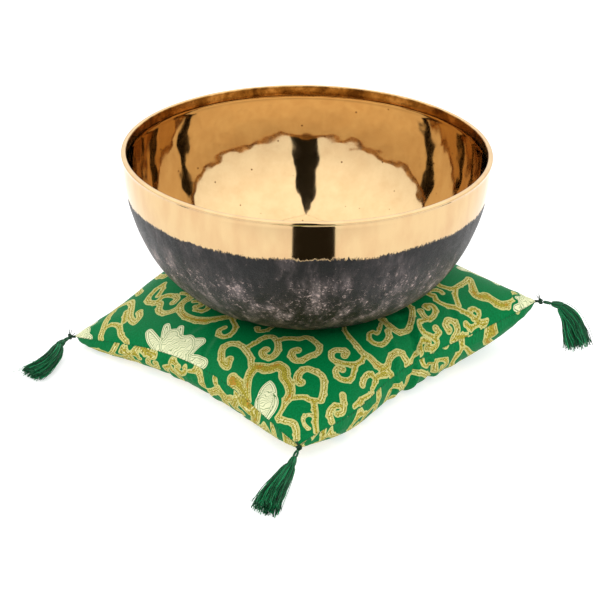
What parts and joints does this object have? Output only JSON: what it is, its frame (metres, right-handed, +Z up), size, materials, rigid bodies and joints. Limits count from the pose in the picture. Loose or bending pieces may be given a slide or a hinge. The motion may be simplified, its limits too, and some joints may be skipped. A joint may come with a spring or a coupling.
{
  "type": "singing bowl",
  "caption": "Hand-hammered bronze singing bowl with a polished rim band, standing on a square brocade cushion with a tassel at each corner.",
  "frame": {"origin": "on the table plane, straight under the bowl's axis; the table plane is the underside of the cushion", "axes": "+Z up along the bowl's axis; -Y towards the cushion's front corner; +X towards its right corner"},
  "size_m": [0.4399, 0.4802, 0.168],
  "materials": {
    "bronze": "polished inside and in a band under the rim, dark patina below",
    "brocade": "satin ground with woven gold and cream figures",
    "fibre_filling": "matte fibre",
    "stitch_thread": "twisted thread",
    "tassel_thread": "satin rayon thread"
  },
  "bodies": {
    "cushion": {"cover_top": "brocade", "cover_bottom": "brocade", "filling": "fibre_filling", "edge_stitching": "stitch_thread", "corner_knot_left": "stitch_thread", "corner_knot_front": "stitch_thread", "corner_knot_right": "stitch_thread", "corner_knot_back": "stitch_thread"},
    "bowl": {"bowl": "bronze"},
    "loop_left": {"tassel_loop_left": "tassel_thread"},
    "tassel_left": {"tassel_head_left": "tassel_thread", "tassel_binding_left": "stitch_thread", "tassel_skirt_left": "tassel_thread"},
    "loop_front": {"tassel_loop_front": "tassel_thread"},
    "tassel_front": {"tassel_head_front": "tassel_thread", "tassel_binding_front": "stitch_thread", "tassel_skirt_front": "tassel_thread"},
    "loop_right": {"tassel_loop_right": "tassel_thread"},
    "tassel_right": {"tassel_head_right": "tassel_thread", "tassel_binding_right": "stitch_thread", "tassel_skirt_right": "tassel_thread"},
    "loop_back": {"tassel_loop_back": "tassel_thread"},
    "tassel_back": {"tassel_head_back": "tassel_thread", "tassel_binding_back": "stitch_thread", "tassel_skirt_back": "tassel_thread"}
  },
  "joints": [
    {"name": "bowl_lift", "type": "slide", "parent": "cushion", "child": "bowl", "axis": [0, 0, 1], "range_m": [0, 0.15]},
    {"name": "tassel_sweep_left", "type": "hinge", "parent": "cushion", "child": "loop_left", "pos_m": [-0.18517, -0.01118, 0.009], "axis": [0, 0, 1], "range_deg": [-140, 10]},
    {"name": "tassel_lift_left", "type": "hinge", "parent": "loop_left", "child": "tassel_left", "pos_m": [-0.19041, -0.02241, 0.009], "axis": [-0.9063, 0.4226, 0], "range_deg": [0, 85]},
    {"name": "tassel_sweep_front", "type": "hinge", "parent": "cushion", "child": "loop_front", "pos_m": [-0.00311, -0.18917, 0.019], "axis": [0, 0, 1], "range_deg": [-54, 96]},
    {"name": "tassel_lift_front", "type": "hinge", "parent": "loop_front", "child": "tassel_front", "pos_m": [-0.00728, -0.20005, 0.01476], "axis": [-0.9336, 0.3584, 0], "range_deg": [0, 85]},
    {"name": "tassel_sweep_right", "type": "hinge", "parent": "cushion", "child": "loop_right", "pos_m": [0.18517, -0.00482, 0.043], "axis": [0, 0, 1], "range_deg": [-60, 90]},
    {"name": "tassel_lift_right", "type": "hinge", "parent": "loop_right", "child": "tassel_right", "pos_m": [0.1971, -0.00802, 0.04192], "axis": [-0.2588, -0.9659, 0], "range_deg": [-10, 85]},
    {"name": "tassel_sweep_back", "type": "hinge", "parent": "cushion", "child": "loop_back", "pos_m": [0.00311, 0.17317, 0.028], "axis": [0, 0, 1], "range_deg": [-60, 90]},
    {"name": "tassel_lift_back", "type": "hinge", "parent": "loop_back", "child": "tassel_back", "pos_m": [0.00602, 0.18403, 0.02276], "axis": [0.9659, -0.2588, 0], "range_deg": [0, 85]}
  ]
}
